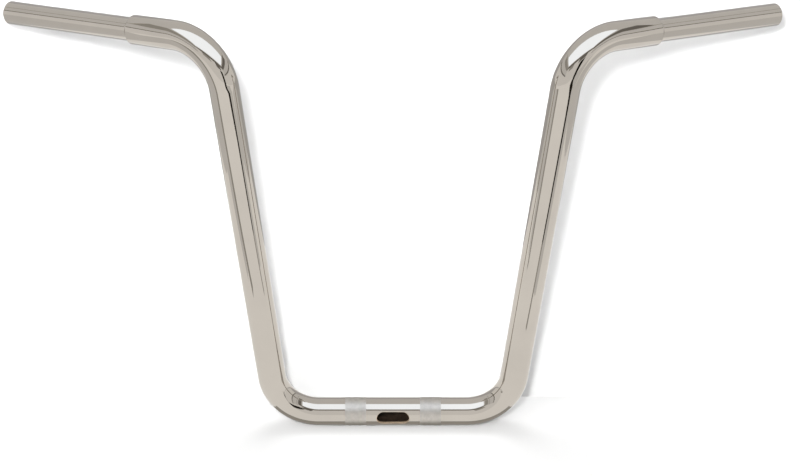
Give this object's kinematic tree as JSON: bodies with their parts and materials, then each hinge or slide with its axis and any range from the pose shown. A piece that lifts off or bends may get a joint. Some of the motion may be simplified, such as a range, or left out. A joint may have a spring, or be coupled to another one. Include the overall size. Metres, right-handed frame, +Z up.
{
  "type": "motorcycle handlebar",
  "caption": "Tall motorcycle handlebar bent from one chromed steel tube, with swept grip ends, knurled clamp bands and a wiring slot at the centre.",
  "frame": {"origin": "on the tube's axis, in the middle of the riser clamp zone between the two knurled bands", "axes": "+X along the centre tube to the rider's right, +Y back to the rider, +Z up the uprights, as the bar stands when it is mounted"},
  "size_m": [0.8598, 0.1748, 0.4828],
  "materials": {
    "chrome_tube": "polished"
  },
  "bodies": {
    "root": {"handlebar": "chrome_tube"}
  },
  "joints": []
}
